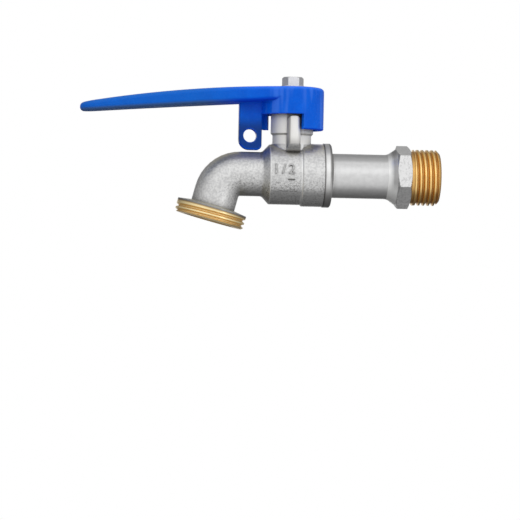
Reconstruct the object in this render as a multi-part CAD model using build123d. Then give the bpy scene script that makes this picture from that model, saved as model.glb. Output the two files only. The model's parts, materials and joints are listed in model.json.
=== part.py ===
from build123d import *
import math
import os

# A lever ball tap for a washing machine hose. Lengths are millimetres and angles are degrees.
# X runs along the pipe towards the wall, and Z is up. The pieces are drawn about the point where
# the stem's axis crosses the pipe's axis. They are moved at the end, so that the origin lies on
# the pipe's axis where the inlet thread starts, next to the hex shoulder.

# Inlet tail
stem_to_shoulder = 44.5
inlet_thread_diameter = 20.955
inlet_thread_length = 9.8
inlet_thread_chamfer = 1.2
relief_width = 1.2
relief_diameter = 19.4
hex_across_flats = 21.0
hex_length = 5.3
hex_chamfer = 0.7
hex_turn = 11.0
flare_length = 3.1
flare_fillet = 4.0
tube_diameter = 16.6
tube_bore_diameter = 11.6
bore_lead_in = 0.8
rim_diameter = 24.0
rim_width = 2.8
rim_edge = 0.4
rim_fillet = 1.0
spigot_diameter = 18.5

# Ball chamber
chamber_diameter = 22.4
chamber_face = 11.8
band_diameter = 23.5
band_start = 3.4
band_slope = 0.5
shoulder_length = 2.7
shoulder_fillet = 1.5
chamber_edge_fillet = 0.5

# Spout and outlet
spout_diameter = 16.6
spout_bore_diameter = 12.0
elbow_reach = 25.9
elbow_inner_radius = 0.7
outlet_tilt = 15.0
outlet_drop = 18.2
outlet_thread_diameter = 26.441
outlet_rim_height = 5.0
outlet_cone_height = 0.8
outlet_chamfer = 0.6
outlet_recess_diameter = 19.2
outlet_recess_depth = 3.2

# Neck and stop rib
neck_diameter = 14.5
neck_top = 23.5
neck_fillet = 0.8
neck_land = 1.15
collar_diameter = 15.9
collar_start = 14.6
collar_slope = 0.7
collar_edge = 0.4
rib_width = 5.0
rib_height = 2.55
rib_sink = 0.75
rib_edge = 2.1
rib_crown = 2.0
rib_turn = 13.0
rib_foot = 7.3
rib_root = 0.4

# Ball and seats
ball_diameter = 15.0
port_diameter = 8.6
seat_diameter = 13.6
seat_bore_diameter = 8.8
seat_bite = 3.1
seat_length = 3.8
slot_web = 0.8

# Stem, packing and gland
stem_diameter = 7.8
stem_collar_diameter = 10.4
stem_collar_height = 1.6
tang_width = 3.4
tang_length = 7.2
stem_square = 6.0
stem_top_gap = 0.3
floor_thickness = 2.1
thrust_washer_thickness = 0.8
packing_height = 2.0
gland_diameter = 11.0
gland_top_gap = 0.3
gland_slot_width = 2.0
gland_slot_depth = 1.8

# Lever
hub_gap = 3.05
hub_thickness = 6.0
cup_depth = 9.8
cup_gap = 1.55
cup_wall = 2.3
cup_edge_fillet = 0.5
cup_land = 0.2
window_height = 5.6
rib_top_gap = 0.8
lever_travel = 90.0
stop_clearance = 1.5
leg_angle = 10.0
back_window_end = 74.0
lever_length = 79.3
crown_centre = 2.0
tip_drop = 7.5
underside_at_hub = 3.9
underside_at_middle = 7.5
underside_at_tip = 10.8
arm_root_reach = 4.0
arm_setback = 1.2
tip_width = 12.4
arm_blend = 8.0
arm_top_fillet = 1.5
arm_bottom_fillet = 1.5
ear_length = 8.6
ear_thickness = 5.0
ear_offset = 0.4
ear_overlap = 0.4
ear_clearance = 0.7
ear_outer_corner = 4.0
ear_inner_corner = 1.8
ear_edge = 0.6
padlock_hole_diameter = 5.0
padlock_hole_inset = 4.4
padlock_hole_height = 5.3

# Screw and washer
screw_diameter = 4.0
screw_length = 10.0
screw_across_flats = 7.0
screw_head_height = 3.3
screw_head_chamfer = 0.5
screw_hole_spare = 0.7
washer_diameter = 8.6
washer_thickness = 0.7
washer_bore_gap = 0.2

# Clearances on each side, and how far a cut runs past the face it opens
thread_clearance = 0.05
running_clearance = 0.05
ball_clearance = 0.5
slot_clearance = 0.1
axial_play = 0.05
overrun = 1.0
match = 0.01

# Radii and levels that follow from the sizes above
spout_radius = spout_diameter / 2
spout_bore = spout_bore_diameter / 2
tube_radius = tube_diameter / 2
chamber_radius = chamber_diameter / 2
collar_radius = collar_diameter / 2
neck_radius = neck_diameter / 2
ball_radius = ball_diameter / 2
port_radius = port_diameter / 2
cavity_radius = ball_radius + ball_clearance
seat_pocket = seat_diameter / 2 + thread_clearance
seat_front = ball_radius - seat_bite
seat_back = seat_front + seat_length
shoulder_start = neck_radius + neck_land
shoulder_end = shoulder_start + shoulder_length
elbow_radius = spout_radius + elbow_inner_radius
spigot_radius = spigot_diameter / 2
thread_start = stem_to_shoulder + relief_width
inlet_end = thread_start + inlet_thread_length

stem_radius = stem_diameter / 2
stem_bore = stem_radius + running_clearance
gland_radius = gland_diameter / 2
ring_radius = gland_radius - thread_clearance
slot_floor = port_radius + slot_web
thrust_level = cavity_radius + floor_thickness
collar_level = thrust_level + thrust_washer_thickness + axial_play
packing_level = collar_level + stem_collar_height + axial_play
gland_level = packing_level + 2 * packing_height
gland_top = neck_top - gland_top_gap

hub_floor = neck_top + hub_gap
hub_top = hub_floor + hub_thickness
cup_bottom = hub_floor - cup_depth
cup_radius = collar_radius + cup_gap
hub_radius = cup_radius + cup_wall
window_top = cup_bottom + window_height
rib_top = window_top - rib_top_gap
rib_reach = collar_radius + rib_height
ear_bottom = spout_radius + ear_clearance
washer_top = hub_top + washer_thickness
screw_end = washer_top - screw_length

# The three lines that the pieces are turned about
pipe_axis = Axis.X
stem_axis = Axis.Z
outlet_lean = math.radians(outlet_tilt)
elbow = Vector(-elbow_reach, 0, 0)
outlet_axis = Axis(elbow, (-math.sin(outlet_lean), 0, -math.cos(outlet_lean)))


def turned(axis, *outline):
    """Solid turned about a line, from points of (distance along the line, radius)."""
    plane = Plane(axis.position, x_dir=axis.direction, z_dir=(0, -1, 0))
    return revolve(plane * make_face(Polyline(*outline, close=True)), axis)


def rod(axis, radius, start, end):
    return turned(axis, (start, 0), (start, radius), (end, radius), (end, 0))


def ring(axis, inner, outer, start, end):
    return turned(axis, (start, inner), (start, outer), (end, outer), (end, inner))


def circles(solid, place, radius):
    """Round edges about the pipe's axis, at one place along it."""
    found = []
    for edge in solid.edges().filter_by(GeomType.CIRCLE):
        if abs(edge.arc_center.X - place) < match and abs(edge.radius - radius) < match:
            found.append(edge)
    return found


def spout_bar(radius, start, end):
    """Round bar along the spout: out of the chamber, round the elbow and down the outlet."""
    finish = elbow + outlet_axis.direction * end
    path = FilletPolyline((-start, 0, 0), elbow, finish, radius=elbow_radius)
    return sweep(Plane(path @ 0, z_dir=path % 0) * Circle(radius), path)


def sector(start, angle, inner, outer, low, high):
    """Part of a ring about the stem, from one bearing (from +X, towards +Y) through an angle."""
    turn = math.radians(start)
    plane = Plane((0, 0, 0), x_dir=(math.cos(turn), math.sin(turn), 0),
                  z_dir=(math.sin(turn), -math.cos(turn), 0))
    outline = Polyline((inner, low), (outer, low), (outer, high), (inner, high), close=True)
    return revolve(plane * make_face(outline), stem_axis, angle)


def stop_rib():
    """Upright rib on the front of the neck that the lever's leg and window stop against."""
    back = neck_radius - rib_sink
    foot_level = math.sqrt(chamber_radius ** 2 - rib_foot ** 2) - rib_root
    middle = (foot_level + rib_top) / 2
    face = Pos(0, middle) * Rectangle(rib_width, rib_top - foot_level)
    face = fillet(face.vertices().group_by(Axis.Y)[-1], rib_crown)
    front = extrude(Plane.XZ * face, rib_reach + overrun)

    root = rib_foot - rib_root
    bend = TangentArc((-rib_reach, rib_turn), (-root, foot_level), tangent=(0, -1))
    edges = Polyline((-root, foot_level), (-back, foot_level), (-back, rib_top),
                     (-rib_reach, rib_top), (-rib_reach, rib_turn))
    side = extrude(Plane.YZ * make_face(edges.edges() + bend.edges()), rib_width, both=True)

    plan = Pos(0, -(back + rib_reach) / 2) * Rectangle(rib_width, rib_reach - back)
    plan = fillet(plan.vertices().group_by(Axis.Y)[0], rib_edge)
    return front & side & extrude(plan, rib_top + overrun)


def outlet_flange():
    """Coned flange and plain-cut outlet thread at the end of the spout."""
    rim_start = outlet_drop - outlet_rim_height
    rim = outlet_thread_diameter / 2
    return turned(
        outlet_axis,
        (rim_start - outlet_cone_height, 0),
        (rim_start - outlet_cone_height, spout_radius),
        (rim_start, rim),
        (outlet_drop - outlet_chamfer, rim),
        (outlet_drop, rim - outlet_chamfer),
        (outlet_drop, 0),
    )


def valve_body():
    chamber = turned(
        pipe_axis,
        (-shoulder_end, 0),
        (-shoulder_end, spout_radius),
        (-shoulder_start, chamber_radius),
        (chamber_face, chamber_radius),
        (chamber_face, 0),
    )
    neck = turned(
        stem_axis,
        (0, 0),
        (0, neck_radius),
        (collar_start, neck_radius),
        (collar_start + collar_slope, collar_radius),
        (neck_top - collar_edge, collar_radius),
        (neck_top, collar_radius - collar_edge),
        (neck_top, 0),
    )
    casting = chamber + neck
    casting = fillet(new_edges(chamber, neck, combined=casting), neck_fillet)
    casting = fillet(circles(casting, -shoulder_start, chamber_radius), chamber_edge_fillet)
    casting += spout_bar(spout_radius, shoulder_end, outlet_drop - outlet_rim_height)
    casting = fillet(circles(casting, -shoulder_end, spout_radius), shoulder_fillet)
    casting += turned(
        pipe_axis,
        (band_start, 0),
        (band_start, chamber_radius),
        (band_start + band_slope, band_diameter / 2),
        (chamber_face, band_diameter / 2),
        (chamber_face, 0),
    )
    casting += outlet_flange()
    casting += stop_rib()

    spigot_bore = spigot_radius + thread_clearance
    casting -= turned(
        pipe_axis,
        (-seat_back, 0),
        (-seat_back, seat_pocket),
        (-seat_front, seat_pocket),
        (-seat_front, cavity_radius),
        (seat_front - ball_clearance, cavity_radius),
        (seat_front - ball_clearance, spigot_bore),
        (chamber_face + overrun, spigot_bore),
        (chamber_face + overrun, 0),
    )
    casting -= turned(
        stem_axis,
        (0, 0),
        (0, stem_bore),
        (thrust_level, stem_bore),
        (thrust_level, gland_radius),
        (neck_top + overrun, gland_radius),
        (neck_top + overrun, 0),
    )
    casting -= spout_bar(spout_bore, seat_back, outlet_drop)
    casting -= turned(
        outlet_axis,
        (outlet_drop - outlet_recess_depth, 0),
        (outlet_drop - outlet_recess_depth, spout_bore),
        (outlet_drop, outlet_recess_diameter / 2),
        (outlet_drop, 0),
    )
    return casting


def inlet_tail():
    hex_start = stem_to_shoulder - hex_length
    flat = hex_across_flats / 2
    corner = flat / math.cos(math.radians(30))
    hex_plane = Plane((hex_start, 0, 0), x_dir=(0, 1, 0), z_dir=(1, 0, 0))
    hexagon = RegularPolygon(flat, 6, major_radius=False, rotation=30 - hex_turn)
    spanner_hex = extrude(hex_plane * hexagon, hex_length) & turned(
        pipe_axis,
        (hex_start, 0),
        (hex_start, flat),
        (hex_start + hex_chamfer, corner),
        (stem_to_shoulder - hex_chamfer, corner),
        (stem_to_shoulder, flat),
        (stem_to_shoulder, 0),
    )
    thread_radius = inlet_thread_diameter / 2
    rim_end = chamber_face + rim_width
    rim = rim_diameter / 2
    tail = spanner_hex + turned(
        pipe_axis,
        (seat_front, 0),
        (seat_front, spigot_radius),
        (chamber_face, spigot_radius),
        (chamber_face, rim),
        (rim_end - rim_edge, rim),
        (rim_end, rim - rim_edge),
        (rim_end, tube_radius),
        (hex_start - flare_length, tube_radius),
        (hex_start, flat),
        (stem_to_shoulder, flat),
        (stem_to_shoulder, relief_diameter / 2),
        (thread_start, relief_diameter / 2),
        (thread_start, thread_radius),
        (inlet_end - inlet_thread_chamfer, thread_radius),
        (inlet_end, thread_radius - inlet_thread_chamfer),
        (inlet_end, 0),
    )
    tail = fillet(circles(tail, rim_end, tube_radius), rim_fillet)
    tail = fillet(circles(tail, hex_start - flare_length, tube_radius), flare_fillet)
    bore = tube_bore_diameter / 2
    return tail - turned(
        pipe_axis,
        (seat_front, 0),
        (seat_front, seat_pocket),
        (seat_back, seat_pocket),
        (seat_back, bore),
        (inlet_end - bore_lead_in, bore),
        (inlet_end, bore + bore_lead_in),
        (inlet_end, 0),
    )


def ball():
    port = rod(pipe_axis, port_radius, -ball_diameter, ball_diameter)
    slot = Pos(0, 0, slot_floor + ball_radius) * Box(
        tang_width + 2 * slot_clearance, 2 * ball_diameter, ball_diameter)
    return Sphere(ball_radius) - port - slot


def outlet_seat():
    blank = ring(pipe_axis, seat_bore_diameter / 2, seat_diameter / 2, -seat_back, -seat_front)
    return blank - Sphere(ball_radius + running_clearance)


def inlet_seat():
    return mirror(outlet_seat(), about=Plane.YZ)


def stem():
    tang = Pos(0, 0, slot_floor + slot_clearance) * Box(
        tang_width, tang_length, cavity_radius,
        align=(Align.CENTER, Align.CENTER, Align.MIN))
    shaft = turned(
        stem_axis,
        (cavity_radius, 0),
        (cavity_radius, stem_radius),
        (collar_level, stem_radius),
        (collar_level, stem_collar_diameter / 2),
        (collar_level + stem_collar_height, stem_collar_diameter / 2),
        (collar_level + stem_collar_height, stem_radius),
        (hub_floor, stem_radius),
        (hub_floor, 0),
    )
    square_top = extrude(Plane.XY.offset(hub_floor) * Rectangle(stem_square, stem_square),
                         hub_thickness - stem_top_gap)
    square_top &= rod(stem_axis, stem_radius, hub_floor, hub_top)
    driver = tang & rod(stem_axis, stem_radius, 0, thrust_level)
    tapped_hole = rod(stem_axis, screw_diameter / 2 + thread_clearance,
                      screw_end - screw_hole_spare, hub_top)
    return driver + shaft + square_top - tapped_hole


def thrust_washer():
    return ring(stem_axis, stem_bore, ring_radius, thrust_level,
                thrust_level + thrust_washer_thickness)


def packing_ring(place):
    bottom = packing_level + place * packing_height
    return ring(stem_axis, stem_bore, ring_radius, bottom, bottom + packing_height)


def gland_nut():
    nut = ring(stem_axis, stem_bore, ring_radius, gland_level, gland_top)
    slot = Pos(0, 0, gland_top) * Box(gland_slot_width, gland_diameter, 2 * gland_slot_depth)
    return nut - slot


def lever_plate():
    """Hub disc and arm: a plan outline cut to the crowned side view, with rounded edges."""
    tip_radius = tip_width / 2
    root_radius = hub_radius - arm_setback
    tip_centre = lever_length - tip_radius
    lean = math.asin((root_radius - tip_radius) / (tip_centre - arm_root_reach))
    along, across = -math.sin(lean), math.cos(lean)
    root = (-arm_root_reach + root_radius * along, root_radius * across)
    tip = (-tip_centre + tip_radius * along, tip_radius * across)
    arm = make_face(Polyline(root, tip, (tip[0], -tip[1]), (root[0], -root[1]), close=True))
    plan = Circle(hub_radius) + arm + Pos(-tip_centre, 0) * Circle(tip_radius)
    corners = plan.vertices().filter_by(lambda corner: -hub_radius < corner.X < 0)
    plan = fillet(corners, arm_blend)

    crown_reach = lever_length + crown_centre
    crown_radius = (crown_reach ** 2 + tip_drop ** 2) / (2 * tip_drop)

    def crown(place):
        rise = math.sqrt(crown_radius ** 2 - (place - crown_centre) ** 2)
        return (place, hub_top - crown_radius + rise)

    near = hub_radius + overrun
    far = -lever_length - overrun
    middle = -lever_length / 2
    top = ThreePointArc(crown(near), crown(middle), crown(far))
    underside = ThreePointArc((near, hub_top - underside_at_hub),
                              (middle, hub_top - underside_at_middle),
                              (far, hub_top - underside_at_tip))
    ends = [Line(top @ 0, underside @ 0), Line(top @ 1, underside @ 1)]
    side_view = make_face([top.edge(), underside.edge(), ends[0].edge(), ends[1].edge()])
    plate = extrude(plan, hub_top + overrun) & extrude(Plane.XZ * side_view, hub_radius + overrun,
                                                       both=True)
    upper = plate.faces().filter_by(lambda face: face.normal_at().Z > 0.9)
    plate = fillet(upper.edges(), arm_top_fillet)
    lower = plate.faces().filter_by(lambda face: face.normal_at().Z < -0.9)
    return fillet(lower.edges(), arm_bottom_fillet)


def padlock_ear():
    """Drilled ear under the arm, beside the hub."""
    inner = hub_radius - ear_overlap
    height = hub_top - underside_at_hub - ear_bottom
    outline = Pos(-inner - ear_length / 2, ear_bottom + height / 2) * Rectangle(ear_length, height)
    outline = fillet(outline.vertices().group_by(Axis.Y)[0].sort_by(Axis.X)[0], ear_outer_corner)
    outline = fillet(outline.vertices().group_by(Axis.Y)[0].sort_by(Axis.X)[-1], ear_inner_corner)
    plate = extrude(Plane.XZ * outline, ear_thickness / 2, both=True)
    rim = [edge for edge in plate.edges() if edge.center().Z < cup_bottom and
           abs(abs(edge.center().Y) - ear_thickness / 2) < match]
    plate = fillet(rim, ear_edge)
    hole_centre = (-inner - padlock_hole_inset, 0, ear_bottom + padlock_hole_height)
    hole = Pos(hole_centre) * Rot(90, 0, 0) * Cylinder(padlock_hole_diameter / 2, 2 * ear_thickness)
    return Pos(0, ear_offset, 0) * (plate - hole)


def lever():
    """Die-cast lever at rest over the spout, with the cup that hides the neck."""
    cup = rod(stem_axis, hub_radius, cup_bottom, hub_top - arm_top_fillet - cup_land)
    cup_rim = cup.edges().group_by(Axis.Z)[0]
    casting = lever_plate() + fillet(cup_rim, cup_edge_fillet)
    casting -= rod(stem_axis, cup_radius, cup_bottom - overrun, hub_floor)

    # Bearings of the window that the rib travels in, and of the cut behind the stop leg
    front = 270.0
    rib_half_angle = math.degrees(math.asin(rib_width / 2 / cup_radius)) + stop_clearance
    window_start = front - lever_travel - rib_half_angle
    window_angle = lever_travel + 2 * rib_half_angle
    cut = (cup_radius - overrun, hub_radius + overrun, cup_bottom - overrun, window_top)
    casting -= sector(window_start, window_angle, *cut)
    leg_end = window_start - leg_angle
    casting -= sector(back_window_end, leg_end - back_window_end, *cut)

    square = stem_square + 2 * running_clearance
    broach = extrude(Plane.XY.offset(hub_floor - overrun) * Rectangle(square, square),
                     hub_thickness + 2 * overrun)
    broach &= rod(stem_axis, stem_bore, hub_floor - overrun, hub_top + overrun)
    return casting - broach + padlock_ear()


def lever_washer():
    bore = screw_diameter / 2 + washer_bore_gap
    return ring(stem_axis, bore, washer_diameter / 2, hub_top, washer_top)


def lever_screw():
    flat = screw_across_flats / 2
    corner = flat / math.cos(math.radians(30))
    head_top = washer_top + screw_head_height
    hexagon = RegularPolygon(flat, 6, major_radius=False)
    head = extrude(Plane.XY.offset(washer_top) * hexagon, screw_head_height)
    head &= turned(
        stem_axis,
        (washer_top, 0),
        (washer_top, corner),
        (head_top - screw_head_chamfer, corner),
        (head_top, flat),
        (head_top, 0),
    )
    return head + rod(stem_axis, screw_diameter / 2, screw_end, washer_top)


def write_pieces():
    pieces = {
        "valve_body": valve_body(),
        "inlet_tail": inlet_tail(),
        "ball": ball(),
        "outlet_seat": outlet_seat(),
        "inlet_seat": inlet_seat(),
        "stem": stem(),
        "thrust_washer": thrust_washer(),
        "packing_ring_lower": packing_ring(0),
        "packing_ring_upper": packing_ring(1),
        "gland_nut": gland_nut(),
        "lever": lever(),
        "lever_washer": lever_washer(),
        "lever_screw": lever_screw(),
    }
    os.makedirs("parts", exist_ok=True)
    for name, piece in pieces.items():
        export_step(Pos(-thread_start, 0, 0) * piece, f"parts/{name}.step")


write_pieces()
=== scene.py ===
import json
import math

import bmesh
import bpy
from mathutils import Matrix, Vector


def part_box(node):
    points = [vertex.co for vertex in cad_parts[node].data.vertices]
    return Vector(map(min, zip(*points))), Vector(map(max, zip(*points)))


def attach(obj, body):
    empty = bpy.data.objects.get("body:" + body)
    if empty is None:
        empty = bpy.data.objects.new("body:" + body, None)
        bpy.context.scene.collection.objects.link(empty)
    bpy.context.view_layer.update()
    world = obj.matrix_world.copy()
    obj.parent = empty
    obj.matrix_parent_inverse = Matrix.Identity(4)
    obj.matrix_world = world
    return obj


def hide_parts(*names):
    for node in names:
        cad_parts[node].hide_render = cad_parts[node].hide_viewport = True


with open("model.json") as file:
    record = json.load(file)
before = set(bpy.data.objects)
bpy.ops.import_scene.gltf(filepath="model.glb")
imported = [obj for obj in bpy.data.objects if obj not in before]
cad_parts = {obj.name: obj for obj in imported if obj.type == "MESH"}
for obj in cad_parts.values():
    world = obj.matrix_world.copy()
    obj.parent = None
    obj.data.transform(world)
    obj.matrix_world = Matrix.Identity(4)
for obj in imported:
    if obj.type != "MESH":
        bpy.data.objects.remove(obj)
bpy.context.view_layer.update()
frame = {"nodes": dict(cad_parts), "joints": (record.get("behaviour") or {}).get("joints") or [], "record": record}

# Lengths are metres. mm turns a length in millimetres into metres.
mm = 0.001

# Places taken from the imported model
mounts = {mount["name"]: mount for mount in frame["record"]["mounts"]}
nodes = frame["nodes"]
stem_x = frame["joints"][0]["pos_m"][0]
inlet = mounts["inlet_thread"]
outlet = mounts["outlet_thread"]
outlet_place = Vector(outlet["pos_m"])
outlet_axis = Vector(outlet["axis"])
body_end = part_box("valve_body")[1].x
inlet_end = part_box("inlet_tail")[1].x - inlet["pos_m"][0]
outlet_end = max((v.co - outlet_place).dot(outlet_axis) for v in nodes["valve_body"].data.vertices)

# Pipe threads: both sizes have 14 threads to the inch
thread_pitch = 25.4 / 14 * mm
thread_depth = 0.95 * mm
outlet_thread_start = -1.3 * mm
inlet_thread_start = -0.2 * mm

# Groove of a thread: the bar that cuts it stands out past the crests, and lifts out at its start
groove_root = 0.3 * mm
groove_mouth = 1.5 * mm
groove_stand_out = 0.2 * mm
groove_lift = 1.6
groove_run_in = 0.35
groove_overrun = 0.6
groove_steps = 96

# Pipe size in numerals, cast on the front of the chamber
numeral_size = 5.4 * mm
numeral_spacing = 1.3
numeral_centre = Vector((stem_x - 3.6 * mm, 1.6 * mm))
dash_size = 5.0 * mm
dash_centre = Vector((stem_x - 0.7 * mm, -1.9 * mm))
word_rise = 0.5 * mm
word_sink = 0.3 * mm
word_step = 0.4 * mm
word_cuts = 6
chamber_radius = 11.2 * mm

# Meshes: corners nearer than these are merged, and edges sharper than this many degrees stay sharp
corner_merge = 0.0005 * mm
word_merge = 0.001 * mm
sharp_angle = 30

# Bands of the casting's finish and of its painted highlights and shade, in millimetres along the pipe from the
# stem
band_edge = (3.0, 3.9)
shoulder_edge = (-8.6, -8.2)
shoulder_cone = (-12.0, -8.4)
rib_sides = (-2.6, 2.6)
rib_corner = (-2.6, -1.4)
worn_marks_sides = (-4.6, 1.6)

# Heights of the casting's finish and painted shade over the pipe's axis, and how far its front stands out, in
# millimetres
worn_marks_heights = (-6.4, -3.8)
rib_shade_foot = (9.4, 10.0)
rib_shade_fade = (10.5, 14.5)
neck_foot = (10.9, 11.6)
front_side = (5.5, 6.5)

# Bands of the outlet's finish and painted shade, in millimetres along its axis from its mount
flange_shade_and_grime = (-2.6, -1.8)
outlet_cut = (-1.75, -1.5)
outlet_edge = (-1.4, -1.0)

# Bands of the tail's finish and of its painted highlights and shade, in millimetres along the pipe from the body's
# end
rim_wall = (-0.1, 2.9)
joint_shadow = (0.15, 0.45)
rim_face = (0.6, 1.8)
rim_foot = (2.0, 3.5)

# Bands of the tail's finish and of its painted highlights and shade, in millimetres along the pipe from the
# inlet's mount
flare_sides = (-10.0, -6.6)
flare_highlight = (-9.8, -8.5)
flare_shade = (-8.0, -6.6)
hex_sides = (-6.5, -1.2)
inlet_cut = (-1.25, -1.05)

# Bands of the lever's finish and of its painted highlights and shade, in millimetres from the stem towards its
# tip, and the ear's heights
hub_highlight_reach = (8.0, 14.0)
handled_part = (8.0, 40.0)
under_shade_reach = (18.0, 36.0)
ear_sides = (11.0, 22.0)
ear_heights = (16.5, 22.5)

# Camera, set by the photograph's framing
camera_distance = 0.86
field_width = 194.6 * mm
camera_azimuth = math.radians(-4.4)
camera_elevation = math.radians(0.0)
camera_roll = math.radians(1.15)
camera_aim = Vector((stem_x - 11.0 * mm, 0, -32.1 * mm))
sensor_width = 36.0
camera_reach = 50.0

# Stage
floor_level = -0.21
floor_size = 6.0
floor_grey = (0.3, 0.3, 0.3, 1)
floor_whiteness = 0.75
shadow_edge = (0.18, 0.45)
white = (1, 1, 1, 1)
backdrop_edge = (math.cos(math.radians(26)), math.cos(math.radians(12)))
light_direction = Vector((0.12, -0.84, 0.42)).normalized()
key_lamp = {"place": (stem_x, -0.8, 0.45), "size": (1.5, 0.5), "power": 0.8}
fill_lamp = {"place": (0.6, -0.8, 0.1), "size": (0.25, 0.7), "power": 0.6}

# Shades of the room, from straight away from the light to straight towards it
room_shades = [(0.0, 0.13), (0.2, 0.27), (0.45, 0.51), (0.62, 0.76), (0.78, 0.94), (1.0, 0.96)]


class Value:
    """An output of a node tree. Arithmetic on values adds Math nodes to their tree."""

    def __init__(self, graph, socket):
        self.graph = graph
        self.socket = socket

    def other(self, name):
        """Another output of the same node."""
        return Value(self.graph, self.socket.node.outputs[name])

    def __add__(self, right):
        return self.graph.math("ADD", self, right)

    def __radd__(self, left):
        return self.graph.math("ADD", left, self)

    def __sub__(self, right):
        return self.graph.math("SUBTRACT", self, right)

    def __rsub__(self, left):
        return self.graph.math("SUBTRACT", left, self)

    def __mul__(self, right):
        return self.graph.math("MULTIPLY", self, right)

    def __rmul__(self, left):
        return self.graph.math("MULTIPLY", left, self)


class Graph:
    """A node tree with one method that adds any node."""

    def __init__(self, tree):
        self.tree = tree

    def node(self, kind, settings=None, sockets=None, output=0):
        """Adds a node: its settings first, then the values or links of its sockets."""
        made = self.tree.nodes.new(kind)
        for name, setting in (settings or {}).items():
            if name == "stops":
                fill_ramp(made.color_ramp, setting)
            else:
                setattr(made, name, setting)
        for name, value in (sockets or {}).items():
            socket = socket_named(made.inputs, name)
            if isinstance(value, Value):
                self.tree.links.new(value.socket, socket)
            else:
                socket.default_value = value
        outputs = made.outputs
        return Value(self, socket_named(outputs, output)) if len(outputs) else None

    def math(self, operation, left, right):
        return self.node("ShaderNodeMath", {"operation": operation}, {0: left, 1: right})


def fill_ramp(ramp, stops):
    while len(ramp.elements) < len(stops):
        ramp.elements.new(1.0)
    for element, (place, shade) in zip(ramp.elements, stops):
        element.position = place
        element.color = (shade, shade, shade, 1)


def socket_named(sockets, name):
    """A socket by its number, its identifier or its name."""
    if isinstance(name, int):
        return sockets[name]
    for socket in sockets:
        if socket.identifier == name:
            return socket
    return sockets[name]


# Building blocks of the finishes, which measure in millimetres

def new_finish(name):
    material = bpy.data.materials.new(name)
    material.use_nodes = True
    material.node_tree.nodes.clear()
    return material, Graph(material.node_tree)


def place_in_mm(graph):
    place = graph.node("ShaderNodeTexCoord", output="Object")
    return graph.node("ShaderNodeVectorMath", {"operation": "SCALE"}, {0: place, "Scale": 1 / mm})


def noise(graph, place, grain, detail=2.0, stretch=(1, 1, 1)):
    """Noise whose grain has that size in millimetres, stretched along the axes."""
    scaled = graph.node("ShaderNodeVectorMath", {"operation": "DIVIDE"}, {0: place, 1: stretch})
    return graph.node("ShaderNodeTexNoise", None,
                      {"Vector": scaled, "Scale": 1 / grain, "Detail": detail})


def along(graph, place, start, axis):
    """Distance in millimetres from a point, along a line."""
    moved = graph.node("ShaderNodeVectorMath", {"operation": "SUBTRACT"},
                       {0: place, 1: tuple(Vector(start) / mm)})
    return graph.node("ShaderNodeVectorMath", {"operation": "DOT_PRODUCT"},
                      {0: moved, 1: tuple(axis)}, output="Value")


def away_from(graph, place, start, axis):
    """Distance in millimetres from a line."""
    moved = graph.node("ShaderNodeVectorMath", {"operation": "SUBTRACT"},
                       {0: place, 1: tuple(Vector(start) / mm)})
    across = graph.node("ShaderNodeVectorMath", {"operation": "CROSS_PRODUCT"},
                        {0: moved, 1: tuple(axis)})
    return graph.node("ShaderNodeVectorMath", {"operation": "LENGTH"}, {0: across}, output="Value")


def rise(graph, value, low, high):
    """0 below low and 1 above high, with a smooth step between them."""
    return graph.node("ShaderNodeMapRange", {"interpolation_type": "SMOOTHSTEP"},
                      {"Value": value, "From Min": low, "From Max": high})


def stripe(graph, value, low, high):
    """1 between two values and 0 outside them."""
    soft = 0.15
    return (rise(graph, value, low - soft, low + soft)
            * (1 - rise(graph, value, high - soft, high + soft)))


def turned_down(graph, facing=None):
    """Cosine of the angle between a face, or a given normal, and straight down."""
    if facing is None:
        facing = graph.node("ShaderNodeNewGeometry", output="Normal")
    return graph.node("ShaderNodeVectorMath", {"operation": "DOT_PRODUCT"},
                      {0: facing, 1: (0, 0, -1)}, output="Value")


def mixed(graph, share, first, second):
    """A mix of two colours."""
    return graph.node("ShaderNodeMix", {"data_type": "RGBA"},
                      {"Factor_Float": share, "A_Color": first, "B_Color": second},
                      output="Result_Color")


def bumped(graph, height, depth, strength=1.0, under=None):
    sockets = {"Height": height, "Distance": depth * mm, "Strength": strength}
    if under is not None:
        sockets["Normal"] = under
    return graph.node("ShaderNodeBump", None, sockets)


def soft_edges(graph, radius):
    """Normal that rounds sharp edges by a small radius."""
    return graph.node("ShaderNodeBevel", {"samples": 6}, {"Radius": radius * mm})


def open_sky(graph, reach):
    """1 on open faces, falling towards 0 deep in corners and creases within that reach."""
    shade = graph.node("ShaderNodeAmbientOcclusion", {"samples": 8}, {"Distance": reach * mm},
                       output="AO")
    return rise(graph, shade, 0.25, 0.95)


def edge_share(graph, radius):
    """0 on plain faces, rising towards 1 on sharp edges and tight rounds of that radius."""
    facing = graph.node("ShaderNodeNewGeometry", output="Normal")
    kept = graph.node("ShaderNodeVectorMath", {"operation": "DOT_PRODUCT"},
                      {0: soft_edges(graph, radius), 1: facing}, output="Value")
    return rise(graph, 1 - kept, 0.01, 0.12)


def surface(graph, **sockets):
    names = {"base": "Base Color", "metallic": "Metallic", "roughness": "Roughness",
             "normal": "Normal", "specular": "Specular IOR Level"}
    shader = graph.node("ShaderNodeBsdfPrincipled", None,
                        {names[name]: value for name, value in sockets.items()})
    graph.node("ShaderNodeOutputMaterial", None, {"Surface": shader})


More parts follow.
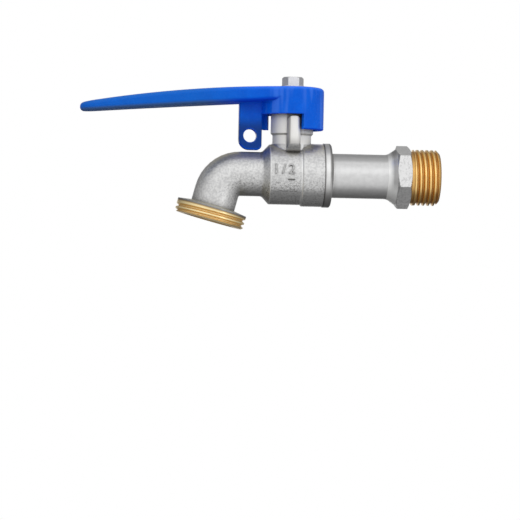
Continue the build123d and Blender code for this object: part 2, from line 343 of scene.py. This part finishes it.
# Colours of the finishes. Tones are pairs, the darker one first.
cast_tones = ((0.55, 0.55, 0.55, 1), (0.71, 0.71, 0.705, 1))
# The numerals and the dash are darker than the casting: painted shade for the shade of their raised strokes.
marks_tones = ((0.34, 0.34, 0.34, 1), (0.52, 0.52, 0.52, 1))
dash_tones = ((0.13, 0.13, 0.13, 1), (0.22, 0.22, 0.22, 1))
tail_tones = ((0.63, 0.63, 0.63, 1), (0.69, 0.69, 0.69, 1))
# Painted shade on the nickel's lower and shaded sides, and the specks on the hex.
nickel_shade_and_specks = (0.29, 0.29, 0.29, 1)
# Dark grit of the casting and the dark joint line, and painted shade in creases, corners and round the rib.
nickel_grime_and_shade = (0.10, 0.095, 0.09, 1)
# Wear on ridges, and painted highlights and painted light on the rim, flare and hex.
nickel_wear_and_highlight = (0.92, 0.92, 0.91, 1)
nickel_dust = (0.60, 0.56, 0.42, 1)
neck_pale = (0.97, 0.96, 0.93, 1)
inlet_tones = ((0.66, 0.37, 0.115, 1), (0.98, 0.69, 0.28, 1))
outlet_tones = ((1.0, 0.74, 0.36, 1), (1.0, 0.80, 0.43, 1))
# Brown stain at the outlet's first edge and in the thread roots, and painted shade on the threads' flanks and
# upper and lower sides.
brass_stain_and_shade = (0.20, 0.10, 0.035, 1)
paint_tones = ((0.001, 0.130, 0.86, 1), (0.001, 0.160, 0.97, 1))
paint_handled = (0.008, 0.165, 0.68, 1)
# Painted shade on the lever's underside: deep blue by the hub, greyer along the arm.
paint_under_shade = (0.07, 0.17, 0.46, 1)
paint_fold_shade = (0.001, 0.08, 0.95, 1)
# Painted shade in the lever's creases.
paint_shade = (0.001, 0.17, 1.0, 1)
# Lighter blue for edges: thin paint and a painted highlight.
paint_edge_and_highlight = (0.05, 0.26, 0.90, 1)
# Painted highlight on the blue paint.
paint_gleam = (0.045, 0.21, 1.0, 1)
# Painted shade low on the ear.
paint_ear_shade = (0.008, 0.06, 0.34, 1)
# Painted highlight on the arm's upper faces.
paint_arm_highlight = (0.03, 0.16, 0.52, 1)
zinc_tones = ((0.62, 0.62, 0.64, 1), (0.80, 0.80, 0.82, 1))
chrome_tones = ((0.70, 0.71, 0.73, 1), (0.78, 0.79, 0.80, 1))
seat_tones = ((0.78, 0.78, 0.75, 1), (0.86, 0.86, 0.84, 1))
brass_tones = ((0.70, 0.47, 0.19, 1), (0.86, 0.62, 0.28, 1))

# Share of painted shade on the threads, where they face up and down
inlet_thread_shade = 0.6
outlet_thread_shade = 0.12


# Finishes

def brass_skin(graph, place, mount, tones, up_down_shade):
    """Colour and roughness of a bare cut thread: bright crests and brown grooves, with painted shade on one set of
    flanks and where it faces down and up.
    """
    crest = mount["dims"]["r_mm"]
    root = crest - thread_depth / mm
    radius = away_from(graph, place, mount["pos_m"], mount["axis"])
    blotch = noise(graph, place, 1.6, 3.0)
    height = rise(graph, radius + 0.3 * blotch, root, crest + 0.1)
    brass = mixed(graph, height, *tones)
    # Painted shade on the flanks that face along the axis.
    facing = graph.node("ShaderNodeNewGeometry", output="Normal")
    lean = graph.node("ShaderNodeVectorMath", {"operation": "DOT_PRODUCT"},
                      {0: facing, 1: tuple(mount["axis"])}, output="Value")
    brass = mixed(graph, 0.12 * rise(graph, lean, 0.1, 0.6), brass, brass_stain_and_shade)
    deep = 1 - rise(graph, radius, root - 0.1, root + 0.2)
    brass = mixed(graph, 0.3 * deep, brass, brass_stain_and_shade)
    # Painted shade where the thread faces down, less where it faces up.
    down = turned_down(graph)
    brass = mixed(graph, up_down_shade * rise(graph, down, 0.4, 0.7), brass, brass_stain_and_shade)
    brass = mixed(graph, 0.5 * up_down_shade * rise(graph, 0 - down, 0.5, 0.7), brass, brass_stain_and_shade)
    return brass, 0.40 - 0.1 * height


def rib_painted_shade(graph, skin, reach, level, front, neck):
    """Painted shade along the rib's corner and at its foot."""
    corner = stripe(graph, reach, *rib_corner) * front * neck
    skin = mixed(graph, 0.55 * corner, skin, nickel_grime_and_shade)
    foot = (rise(graph, level, *rib_shade_foot) - rise(graph, level, *rib_shade_fade)) * front
    return mixed(graph, 0.45 * foot * stripe(graph, reach, *rib_sides), skin, nickel_grime_and_shade)


def cast_lower_shade(graph, reach, down):
    """Share of painted shade on the casting's skin as it turns down: sooner on the chamber than on the spout."""
    spout_low = 0.5 * rise(graph, down, 0.25, 0.85) + 0.25 * rise(graph, down, 0.7, 0.95)
    chamber_low = 0.68 * rise(graph, down, 0.42, 0.62) - 0.22 * rise(graph, down, 0.68, 0.85)
    chamber = rise(graph, reach, *shoulder_cone)
    return spout_low * (1 - chamber) + chamber_low * chamber


def outlet_skin(graph, place, distance):
    """Bare brass of the outlet, browner at its first edge, with its roughness."""
    brass, roughness = brass_skin(graph, place, outlet, outlet_tones, outlet_thread_shade)
    edge = 1 - rise(graph, distance, *outlet_edge)
    return mixed(graph, 0.7 * edge, brass, brass_stain_and_shade), roughness


def worn_marks(graph, place, reach, level, front):
    """Height of the worn marks under the dash."""
    patch = stripe(graph, reach, *worn_marks_sides) * stripe(graph, level, *worn_marks_heights) * front
    return 2.0 * patch * rise(graph, noise(graph, place, 0.9, 1.0), 0.48, 0.6)


def cast_nickel(name, tones):
    """Satin nickel over a sand-cast skin, blasted pale on the neck, cut to brass at the outlet, with painted shade
    in creases, by the rib and on lower sides, and painted highlights on its ridges.
    """
    material, graph = new_finish(name)
    place = place_in_mm(graph)
    reach = along(graph, place, (stem_x, 0, 0), (1, 0, 0))
    level = along(graph, place, (0, 0, 0), (0, 0, 1))
    front = rise(graph, along(graph, place, (0, 0, 0), (0, -1, 0)), *front_side)
    distance = along(graph, place, outlet_place, outlet_axis)
    down = turned_down(graph)
    upward = rise(graph, 0 - down, 0.5, 0.95)
    lit_worn_ridges = stripe(graph, reach, *band_edge) + stripe(graph, reach, *shoulder_edge)
    neck = rise(graph, level, *neck_foot)
    cut = rise(graph, distance, *outlet_cut)
    mottle = noise(graph, place, 0.8, 4.0)
    skin = mixed(graph, rise(graph, mottle, 0.35, 0.65), *tones)
    grit = rise(graph, noise(graph, place, 0.55, 1.0), 0.54, 0.66) * rise(graph, down, -0.1, 0.5)
    skin = mixed(graph, 0.55 * grit, skin, nickel_grime_and_shade)
    # Painted highlight and wear along the ridges.
    skin = mixed(graph, 0.7 * lit_worn_ridges, skin, nickel_wear_and_highlight)
    skin = mixed(graph, 0.8 * upward, skin, nickel_dust)
    skin = mixed(graph, neck, skin, neck_pale)
    skin = rib_painted_shade(graph, skin, reach, level, front, neck)
    # Painted shade on the upper side of the shoulder cone.
    skin = mixed(graph, 0.5 * upward * stripe(graph, reach, *shoulder_cone), skin, nickel_grime_and_shade)
    skin = mixed(graph, cast_lower_shade(graph, reach, down), skin, nickel_shade_and_specks)
    # Painted shade in corners and creases, kept off the ridges.
    skin = mixed(graph, open_sky(graph, 3.5) + 0.3 * lit_worn_ridges, nickel_grime_and_shade, skin)
    # A darker band just before the cut to brass: the dark edge of the plating, partly painted shade.
    skin = mixed(graph, 0.7 * rise(graph, distance, *flange_shade_and_grime), skin, nickel_grime_and_shade)
    brass, brass_roughness = outlet_skin(graph, place, distance)
    skin_roughness = 0.42 + 0.16 * (mottle - 0.5) + 0.08 * neck
    dust = upward * (1 - neck) * (1 - cut)
    grain = noise(graph, place, 0.6, 3.0)
    swell = noise(graph, place, 3.0, 2.0)
    relief = (0.8 * grain + 0.8 * swell) * (1 - 0.7 * neck) * (1 - cut)
    relief = relief + worn_marks(graph, place, reach, level, front)
    surface(graph, base=mixed(graph, cut, skin, brass),
            metallic=1 - 0.6 * neck - 0.15 * dust - 0.3 * lit_worn_ridges - 0.15 * cut,
            roughness=skin_roughness * (1 - cut) + brass_roughness * cut,
            normal=bumped(graph, relief, 0.09, 0.8, soft_edges(graph, 0.2)))
    return material


def rim_shade_and_joint(graph, skin, joint, down):
    """Painted shade under the tail's rim and at its foot, and the dark line of the joint."""
    low = stripe(graph, joint, *rim_wall) * rise(graph, down, 0.1, 0.75)
    skin = mixed(graph, 0.6 * low, skin, nickel_grime_and_shade)
    foot = stripe(graph, joint, *rim_foot) * (1 - rise(graph, down, 0.0, 0.5))
    skin = mixed(graph, 0.7 * foot, skin, nickel_grime_and_shade)
    return mixed(graph, 0.25 + 0.75 * rise(graph, joint, *joint_shadow), nickel_grime_and_shade, skin)


def flare_painted_light(graph, skin, distance, low):
    """A painted highlight band and a painted shade band round the flare, and painted light on its lower side."""
    skin = mixed(graph, 0.5 * stripe(graph, distance, *flare_highlight), skin, nickel_wear_and_highlight)
    skin = mixed(graph, 0.35 * stripe(graph, distance, *flare_shade), skin, nickel_grime_and_shade)
    return mixed(graph, 0.95 * low, skin, nickel_wear_and_highlight)


def hex_specks_and_painted_light(graph, place, skin, hexagon, down):
    """Specks on the spanner hex, with painted light on its upper side and painted shade on its edges."""
    specks = rise(graph, noise(graph, place, 0.8, 3.0), 0.5, 0.64)
    skin = mixed(graph, 0.35 * hexagon * specks, skin, nickel_shade_and_specks)
    skin = mixed(graph, 0.6 * hexagon * rise(graph, 0 - down, 0.5, 0.8), skin, nickel_wear_and_highlight)
    return mixed(graph, 0.4 * hexagon * edge_share(graph, 0.4), skin, nickel_grime_and_shade)


def turned_nickel():
    """Satin nickel over a turned tail, with fine tool marks round it, cut to brass at the thread, with painted
    shade and painted highlights on the tube, rim, flare and hex.
    """
    material, graph = new_finish("turned_nickel")
    place = place_in_mm(graph)
    joint = along(graph, place, (body_end, 0, 0), (1, 0, 0))
    distance = along(graph, place, inlet["pos_m"], inlet["axis"])
    down = turned_down(graph)
    hexagon = stripe(graph, distance, *hex_sides)
    flare_lit_underside = stripe(graph, distance, *flare_sides) * rise(graph, down, 0.15, 0.5)
    cut = rise(graph, distance, *inlet_cut)
    mottle = noise(graph, place, 1.5, 3.0)
    skin = mixed(graph, rise(graph, mottle, 0.3, 0.7), *tail_tones)
    # Painted shade in corners and creases.
    skin = mixed(graph, open_sky(graph, 2.5), nickel_grime_and_shade, skin)
    # Painted highlight on the rim's face.
    skin = mixed(graph, 0.42 * stripe(graph, joint, *rim_face), skin, nickel_wear_and_highlight)
    # Painted shade in bands along the tube's upper sides and on its lower side.
    tube_top_shade = 0.55 * rise(graph, 0 - down, 0.55, 0.72) - 0.4 * rise(graph, 0 - down, 0.86, 0.98)
    tube_low_shade = 0.45 * rise(graph, down, 0.4, 0.75)
    skin = mixed(graph, (tube_top_shade + tube_low_shade) * (1 - hexagon), skin, nickel_shade_and_specks)
    skin = rim_shade_and_joint(graph, skin, joint, down)
    skin = flare_painted_light(graph, skin, distance, flare_lit_underside)
    skin = hex_specks_and_painted_light(graph, place, skin, hexagon, down)
    brass, brass_roughness = brass_skin(graph, place, inlet, inlet_tones, inlet_thread_shade)
    skin_roughness = 0.36 + 0.14 * (mottle - 0.5)
    tool_marks = noise(graph, place, 0.22, 2.0, stretch=(1, 30, 30))
    swell = noise(graph, place, 2.2, 2.0)
    relief = (0.5 * tool_marks + 0.5 * swell) * (1 - cut)
    surface(graph, base=mixed(graph, cut, skin, brass), metallic=1 - 0.45 * flare_lit_underside,
            roughness=skin_roughness * (1 - cut) + brass_roughness * cut,
            normal=bumped(graph, relief, 0.03, 0.8, soft_edges(graph, 0.2)))
    return material


def lever_paint():
    """Gloss blue paint with a slight orange-peel, dull on the arm and thin on edges, with painted highlights
    streaked on the hub and on upper faces and edges, and painted shade below, in creases and low on the ear.
    """
    material, graph = new_finish("lever_paint")
    place = place_in_mm(graph)
    reach = along(graph, place, (stem_x, 0, 0), (-1, 0, 0))
    level = along(graph, place, (0, 0, 0), (0, 0, 1))
    down = turned_down(graph, soft_edges(graph, 1.0))
    below = rise(graph, down, 0.1, 0.7)
    handled = rise(graph, reach, *handled_part)
    cloud = noise(graph, place, 6.0, 2.0)
    base = mixed(graph, rise(graph, cloud, 0.3, 0.7), *paint_tones)
    base = mixed(graph, 0.6 * handled, base, paint_handled)
    # Painted highlight in vertical streaks on the hub.
    hub_highlight = rise(graph, noise(graph, place, 2.6, 1.0, stretch=(1, 1, 8)), 0.5, 0.7)
    base = mixed(graph, 0.9 * hub_highlight * (1 - rise(graph, reach, *hub_highlight_reach)), base, paint_gleam)
    # Painted shade low on the ear.
    ear = stripe(graph, reach, *ear_sides)
    base = mixed(graph, ear * (1 - rise(graph, level, *ear_heights)), base, paint_ear_shade)
    # Painted highlight on upper faces, duller along the arm.
    top = mixed(graph, handled, paint_gleam, paint_arm_highlight)
    base = mixed(graph, 0.6 * rise(graph, 0 - down, 0.1, 0.7), base, top)
    # Painted shade on the underside, deep blue by the hub and greyer along the arm.
    under = mixed(graph, rise(graph, reach, *under_shade_reach), paint_fold_shade, paint_under_shade)
    base = mixed(graph, below, base, under)
    # Painted shade in corners and creases.
    base = mixed(graph, open_sky(graph, 3.0), paint_shade, base)
    # Edges lighter: thin paint and a painted highlight.
    base = mixed(graph, 0.35 * edge_share(graph, 0.6), base, paint_edge_and_highlight)
    peel = noise(graph, place, 0.9, 2.0)
    surface(graph, base=base, roughness=0.27 + 0.06 * (peel - 0.5) + 0.5 * below, specular=0.09,
            normal=bumped(graph, peel, 0.02, 0.5, soft_edges(graph, 0.3)))
    return material


def zinc_plate():
    """Bright zinc on steel, with a faint cloudy bloom."""
    material, graph = new_finish("zinc_plate")
    cloud = noise(graph, place_in_mm(graph), 0.8, 3.0)
    surface(graph, base=mixed(graph, cloud, *zinc_tones), metallic=1.0, roughness=0.26 + 0.14 * cloud,
            normal=bumped(graph, cloud, 0.02, 0.6, soft_edges(graph, 0.2)))
    return material


def polished_chrome():
    """Mirror chrome, faintly clouded."""
    material, graph = new_finish("polished_chrome")
    cloud = noise(graph, place_in_mm(graph), 3.0, 2.0)
    surface(graph, base=mixed(graph, cloud, *chrome_tones), metallic=1.0,
            roughness=0.06 + 0.06 * cloud)
    return material


def white_seat():
    """Waxy white fluoroplastic."""
    material, graph = new_finish("white_seat")
    cloud = noise(graph, place_in_mm(graph), 0.7, 3.0)
    surface(graph, base=mixed(graph, cloud, *seat_tones), roughness=0.45 + 0.1 * cloud,
            normal=bumped(graph, cloud, 0.02, 0.5))
    return material


def turned_brass():
    """Plain brass with fine tool marks round it."""
    material, graph = new_finish("turned_brass")
    tool_marks = noise(graph, place_in_mm(graph), 0.2, 2.0, stretch=(30, 30, 1))
    surface(graph, base=mixed(graph, tool_marks, *brass_tones), metallic=1.0,
            roughness=0.24 + 0.12 * tool_marks,
            normal=bumped(graph, tool_marks, 0.02, 0.6, soft_edges(graph, 0.15)))
    return material


# Meshes

def merged_copy(node):
    """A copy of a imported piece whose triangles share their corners, without its stored normals."""
    mesh = nodes[node].data.copy()
    mesh.materials.clear()
    mesh.attributes.remove(mesh.attributes["custom_normal"])
    work = bmesh.new()
    work.from_mesh(mesh)
    bmesh.ops.remove_doubles(work, verts=work.verts, dist=corner_merge)
    work.to_mesh(mesh)
    work.free()
    return mesh


def new_piece(name, mesh):
    piece = bpy.data.objects.new(name, mesh)
    bpy.context.scene.collection.objects.link(piece)
    return piece


def baked(piece):
    """The mesh of a piece with its modifiers applied. The piece itself is removed."""
    bpy.context.view_layer.update()
    evaluated = piece.evaluated_get(bpy.context.evaluated_depsgraph_get())
    mesh = bpy.data.meshes.new_from_object(evaluated)
    bpy.data.objects.remove(piece)
    return mesh


def cut_by(tool, mesh):
    """A closed mesh with another one cut out of it."""
    piece = new_piece("work", mesh)
    tool_piece = new_piece("tool", tool)
    step = piece.modifiers.new("step", "BOOLEAN")
    step.operation = "DIFFERENCE"
    step.solver = "MANIFOLD"
    step.object = tool_piece
    result = baked(piece)
    bpy.data.objects.remove(tool_piece)
    return result


def groove_tree(material):
    """Geometry nodes for the groove of a thread: a helical bar along Z that rises out at its start."""
    tree = bpy.data.node_groups.new("thread_groove", "GeometryNodeTree")
    for name in ("Radius", "Turns", "Pitch", "Depth", "Mouth", "Root", "Run In"):
        tree.interface.new_socket(name, in_out="INPUT", socket_type="NodeSocketFloat")
    tree.interface.new_socket("Steps", in_out="INPUT", socket_type="NodeSocketInt")
    tree.interface.new_socket("Mesh", in_out="OUTPUT", socket_type="NodeSocketGeometry")
    graph = Graph(tree)
    given = graph.node("NodeGroupInput", output="Radius")
    turns = given.other("Turns")
    depth = given.other("Depth")
    helix = graph.node("GeometryNodeCurveSpiral", None, {
        "Resolution": given.other("Steps"), "Rotations": turns, "Start Radius": given,
        "End Radius": given, "Height": turns * given.other("Pitch"), "Reverse": True})
    share = graph.node("GeometryNodeSplineParameter", output="Factor")
    lift = (1 - rise(graph, share * turns, 0.0, given.other("Run In"))) * depth * groove_lift
    place = graph.node("GeometryNodeInputPosition")
    flat = graph.node("ShaderNodeVectorMath", {"operation": "MULTIPLY"}, {0: place, 1: (1, 1, 0)})
    outwards = graph.node("ShaderNodeVectorMath", {"operation": "NORMALIZE"}, {0: flat})
    offset = graph.node("ShaderNodeVectorMath", {"operation": "SCALE"}, {0: outwards, "Scale": lift})
    helix = graph.node("GeometryNodeSetPosition", None, {"Geometry": helix, "Offset": offset})
    helix = graph.node("GeometryNodeSetCurveNormal", {"mode": "Z_UP"}, {"Curve": helix})
    section = graph.node("GeometryNodeCurvePrimitiveQuadrilateral", {"mode": "TRAPEZOID"}, {
        "Bottom Width": given.other("Root"), "Top Width": given.other("Mouth"),
        "Height": depth, "Offset": 0.0})
    section = graph.node("GeometryNodeTransform", None,
                         {"Geometry": section, "Rotation": (0, 0, math.radians(-90))})
    bar = graph.node("GeometryNodeCurveToMesh", None,
                     {"Curve": helix, "Profile Curve": section, "Fill Caps": True})
    bar = graph.node("GeometryNodeRealizeInstances", None, {"Geometry": bar})
    bar = graph.node("GeometryNodeSetMaterial", None, {"Geometry": bar, "Material": material})
    graph.node("NodeGroupOutput", None, {"Mesh": bar})
    return tree


def thread_groove(tree, mount, start, end):
    """Mesh of the groove of one thread, placed on its mount's axis, between two distances along it."""
    piece = new_piece("groove", bpy.data.meshes.new("groove"))
    step = piece.modifiers.new("groove", "NODES")
    step.node_group = tree
    sizes = {"Radius": mount["dims"]["r_mm"] * mm - thread_depth / 2 + groove_stand_out / 2,
             "Turns": (end - start) / thread_pitch + groove_overrun, "Pitch": thread_pitch,
             "Depth": thread_depth + groove_stand_out, "Mouth": groove_mouth, "Root": groove_root,
             "Run In": groove_run_in, "Steps": groove_steps}
    for item in tree.interface.items_tree:
        if item.name in sizes:
            step[item.identifier] = sizes[item.name]
    mesh = baked(piece)
    axis = Vector(mount["axis"])
    turn = Vector((0, 0, 1)).rotation_difference(axis).to_matrix().to_4x4()
    mesh.transform(Matrix.Translation(Vector(mount["pos_m"]) + axis * start) @ turn)
    return mesh


def cast_words(words, size, centre):
    """Raised numerals or signs, bent round the chamber's front."""
    data = bpy.data.curves.new("words", "FONT")
    data.body = words
    data.size = size
    data.space_character = numeral_spacing
    data.align_x = "CENTER"
    data.align_y = "CENTER"
    data.extrude = (word_rise + word_sink) / 2
    mesh = baked(new_piece("words", data))
    work = bmesh.new()
    work.from_mesh(mesh)
    bmesh.ops.remove_doubles(work, verts=work.verts, dist=word_merge)
    for step in range(-word_cuts, word_cuts + 1):
        everything = work.verts[:] + work.edges[:] + work.faces[:]
        bmesh.ops.bisect_plane(work, geom=everything, plane_co=(0, step * word_step, 0),
                               plane_no=(0, 1, 0))
    for corner in work.verts:
        radius = chamber_radius + (word_rise - word_sink) / 2 + corner.co.z
        turn = (corner.co.y + centre.y) / chamber_radius
        corner.co = (centre.x + corner.co.x, -radius * math.cos(turn), radius * math.sin(turn))
    bmesh.ops.recalc_face_normals(work, faces=work.faces)
    work.to_mesh(mesh)
    work.free()
    return mesh


def smooth(mesh):
    mesh.shade_smooth()
    mesh.set_sharp_from_angle(angle=math.radians(sharp_angle))
    mesh.validate()


def dress(node, material):
    """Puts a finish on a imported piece."""
    mesh = nodes[node].data
    mesh.materials.clear()
    mesh.materials.append(material)


def add_piece(name, mesh, material, body):
    mesh.materials.clear()
    mesh.materials.append(material)
    piece = new_piece(name, mesh)
    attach(piece, body)
    return piece


def replace(node, mesh, material, body):
    piece = add_piece(node + "_dressed", mesh, material, body)
    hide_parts(node)


def threaded(node, tree, mount, start, end):
    """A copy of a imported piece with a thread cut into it."""
    mesh = cut_by(thread_groove(tree, mount, start, end), merged_copy(node))
    smooth(mesh)
    return mesh


def build_marks():
    """The numerals and the dash, which stand out of the chamber's front."""
    marks = cast_nickel("cast_marks", marks_tones)
    dash = cast_nickel("cast_dash", dash_tones)
    for name, words, size, centre, finish in (
            ("cast_numerals", "1/2", numeral_size, numeral_centre, marks),
            ("cast_dash", "\u2013", dash_size, dash_centre, dash)):
        add_piece(name, cast_words(words, size, centre), finish, "tap_body")


def dress_the_rest():
    """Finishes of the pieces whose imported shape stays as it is."""
    dress("lever", lever_paint())
    dress("ball", polished_chrome())
    zinc = zinc_plate()
    for node in ("lever_screw", "lever_washer"):
        dress(node, zinc)
    seat = white_seat()
    for node in ("outlet_seat", "inlet_seat", "thrust_washer", "packing_ring_lower",
                 "packing_ring_upper"):
        dress(node, seat)
    brass = turned_brass()
    for node in ("stem", "gland_nut"):
        dress(node, brass)


def build_tap():
    cast = cast_nickel("cast_nickel", cast_tones)
    turned = turned_nickel()
    tree = groove_tree(turned)
    body = threaded("valve_body", tree, outlet, outlet_thread_start, outlet_end)
    replace("valve_body", body, cast, "tap_body")
    build_marks()
    tail = threaded("inlet_tail", tree, inlet, inlet_thread_start, inlet_end)
    replace("inlet_tail", tail, turned, "tap_body")
    dress_the_rest()


def add_camera():
    data = bpy.data.cameras.new("camera")
    data.sensor_width = sensor_width
    data.lens = sensor_width * camera_distance / field_width
    data.clip_end = camera_reach
    back = Vector((math.sin(camera_azimuth) * math.cos(camera_elevation),
                   -math.cos(camera_azimuth) * math.cos(camera_elevation),
                   math.sin(camera_elevation)))
    turn = back.to_track_quat("Z", "Y").to_matrix().to_4x4()
    camera = bpy.data.objects.new("camera", data)
    camera.matrix_world = (Matrix.Translation(camera_aim + back * camera_distance) @ turn
                           @ Matrix.Rotation(camera_roll, 4, "Z"))
    bpy.context.scene.collection.objects.link(camera)
    bpy.context.scene.camera = camera


def add_softbox(name, place, size, power):
    data = bpy.data.lights.new(name, "AREA")
    data.shape = "RECTANGLE"
    data.size, data.size_y = size
    data.energy = power
    lamp = bpy.data.objects.new(name, data)
    aim = Vector((stem_x, 0, 0))
    direction = Vector(place) - aim
    turn = direction.to_track_quat("Z", "Y").to_matrix().to_4x4()
    lamp.matrix_world = Matrix.Translation(place) @ turn
    bpy.context.scene.collection.objects.link(lamp)


def add_world():
    """White behind the object, and for light a room: bright in front and above, dark behind and below.

    Metal and gloss paint show a white backdrop too, which stands straight behind the object.
    """
    world = bpy.data.worlds.new("studio")
    world.use_nodes = True
    world.node_tree.nodes.clear()
    bpy.context.scene.world = world
    graph = Graph(world.node_tree)
    direction = graph.node("ShaderNodeTexCoord", output="Generated")
    facing = graph.node("ShaderNodeVectorMath", {"operation": "DOT_PRODUCT"},
                        {0: direction, 1: tuple(light_direction)}, output="Value")
    room = graph.node("ShaderNodeValToRGB", {"stops": room_shades}, {"Fac": facing * 0.5 + 0.5})
    behind = graph.node("ShaderNodeVectorMath", {"operation": "DOT_PRODUCT"},
                        {0: direction, 1: (0, 1, 0)}, output="Value")
    backdrop = rise(graph, behind, *backdrop_edge)
    seen = graph.node("ShaderNodeLightPath", output="Is Camera Ray")
    reflected = seen.other("Is Glossy Ray") + seen.other("Is Transmission Ray")
    shade = mixed(graph, seen + reflected * backdrop, room, white)
    background = graph.node("ShaderNodeBackground", None, {"Color": shade, "Strength": 1.0})
    graph.node("ShaderNodeOutputWorld", None, {"Surface": background})


def add_floor():
    """Pale floor that takes the object's shadow. The camera sees it nearly as white as the rest."""
    mesh = bpy.data.meshes.new("floor")
    half = floor_size / 2
    corners = [(-half, -half), (half, -half), (half, half), (-half, half)]
    mesh.from_pydata([(x, y, floor_level) for x, y in corners], [], [(0, 1, 2, 3)])
    material, graph = new_finish("floor_white")
    pale = graph.node("ShaderNodeBsdfDiffuse", None, {"Color": floor_grey})
    glow = graph.node("ShaderNodeEmission", None, {"Color": white, "Strength": 1.0})
    seen = graph.node("ShaderNodeLightPath", output="Is Camera Ray")
    distance = away_from(graph, place_in_mm(graph), (stem_x, 0, 0), (0, 0, 1))
    away = rise(graph, distance, shadow_edge[0] / mm, shadow_edge[1] / mm)
    whiteness = floor_whiteness + (1 - floor_whiteness) * away
    shade = graph.node("ShaderNodeMixShader", None, {0: seen * whiteness, 1: pale, 2: glow})
    graph.node("ShaderNodeOutputMaterial", None, {"Surface": shade})
    mesh.materials.append(material)
    floor = new_piece("floor", mesh)
    floor.visible_glossy = False


build_tap()
add_camera()
add_world()
add_floor()
add_softbox("key", **key_lamp)
add_softbox("fill", **fill_lamp)
bpy.context.scene.view_settings.view_transform = "Standard"
